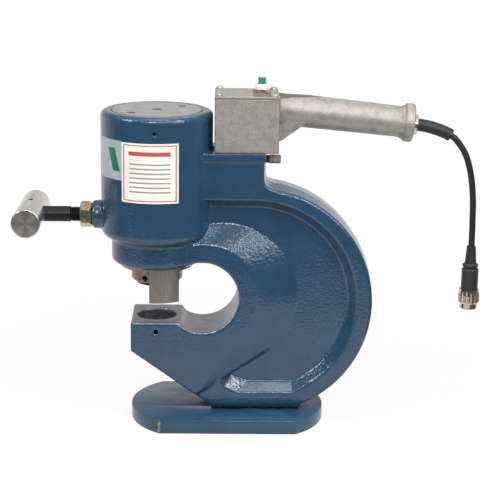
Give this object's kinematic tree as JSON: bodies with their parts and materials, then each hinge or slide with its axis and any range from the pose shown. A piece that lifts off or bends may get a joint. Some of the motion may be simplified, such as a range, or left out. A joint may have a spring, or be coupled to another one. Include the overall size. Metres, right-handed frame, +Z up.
{
  "type": "hydraulic hole punch",
  "caption": "Bench hydraulic punch with a blue cast C-frame on a base plate, spring-return ram, bare die seat, steel T-handle, cast switch box with push button, grip, cord and plug.",
  "frame": {"origin": "centre of the base plate's underside, on the bench", "axes": "+X along the machine from the punch side to the grip and cord, +Y away from its front, +Z up along the punch axis"},
  "size_m": [0.6033, 0.1505, 0.4532],
  "materials": {
    "frame_paint": "gloss",
    "steel": "satin",
    "dark_steel": "satin",
    "zinc": "satin",
    "cast_aluminium": "matt",
    "bronze": "satin",
    "nickel": "worn",
    "black_steel": "satin",
    "black_rubber": "matt",
    "black_plastic": "matt",
    "red_gasket": "matt",
    "clear_rubber": "clear",
    "green_plastic": "gloss",
    "seal_blue": "satin",
    "white_film": "gloss",
    "contact_brass": "satin"
  },
  "bodies": {
    "frame": {"frame_casting": "frame_paint", "base_plate": "frame_paint", "foot_screws": "dark_steel", "cylinder_cap": "steel", "cap_seal": "black_rubber", "cap_set_screw": "dark_steel", "return_spring": "dark_steel", "guide_bush": "bronze", "wiper": "black_rubber", "stripper": "steel", "stripper_screws": "dark_steel", "die_set_screw": "dark_steel", "t_bar": "black_steel", "t_grip": "steel", "lock_nut": "zinc", "grip_screw": "dark_steel", "switch_box": "cast_aluminium", "box_bolts": "zinc", "box_lid": "cast_aluminium", "lid_screws": "zinc", "earth_stud": "zinc", "earth_washer": "zinc", "earth_nut": "zinc", "switch_gasket": "red_gasket", "switch_body": "black_plastic", "switch_nut": "nickel", "switch_boot": "clear_rubber", "gland_ring": "nickel", "cable_sleeve": "black_rubber", "cord": "black_rubber", "heat_shrink": "black_plastic", "plug_shell": "black_plastic", "contact_insert": "black_plastic", "contact_pins": "contact_brass"},
    "ram": {"ram": "steel", "piston_seal": "seal_blue", "wear_ring": "bronze", "punch_retainer": "dark_steel", "punch_set_screw": "dark_steel"},
    "button": {"switch_button": "green_plastic"},
    "coupling": {"coupling_ring": "nickel"}
  },
  "joints": [
    {"name": "ram_slide", "type": "slide", "parent": "frame", "child": "ram", "axis": [0, 0, -1], "range_m": [0, 0.025], "stiffness_N_per_m": 20000, "springref_m": -0.01, "deforming": ["return_spring"]},
    {"name": "button_press", "type": "slide", "parent": "frame", "child": "button", "axis": [0, 0, -1], "range_m": [0, 0.002], "stiffness_N_per_m": 800, "springref_m": -0.002, "deforming": ["switch_boot"]},
    {"name": "coupling_turn", "type": "hinge", "parent": "frame", "child": "coupling", "pos_m": [0.31604, 0, 0.16484], "axis": [0, 0, 1], "continuous": true}
  ]
}
